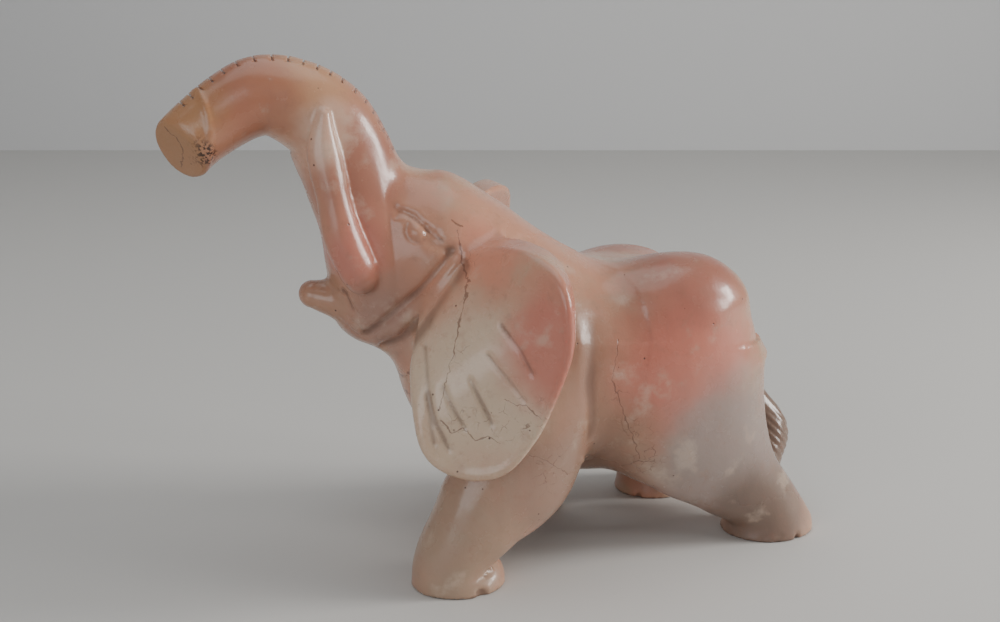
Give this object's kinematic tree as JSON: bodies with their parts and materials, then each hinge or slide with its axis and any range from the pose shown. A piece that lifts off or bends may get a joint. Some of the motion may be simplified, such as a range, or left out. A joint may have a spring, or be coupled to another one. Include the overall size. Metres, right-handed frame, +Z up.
{
  "type": "elephant figurine",
  "caption": "Carved polished stone elephant striding on flared feet, trunk raised over its head, ears spread, tusks lying against the trunk.",
  "frame": {"origin": "centre of the bounding box's bottom, on the plane that the four soles stand on", "axes": "+Z up; the head is towards -X and the tail towards +X; the left flank is towards -Y"},
  "size_m": [0.2879, 0.1639, 0.2219],
  "materials": {
    "polished_stone": "polished marble, cream and grey-white with salmon clouds and thin dark veins"
  },
  "bodies": {
    "root": {"elephant": "polished_stone"}
  },
  "joints": []
}
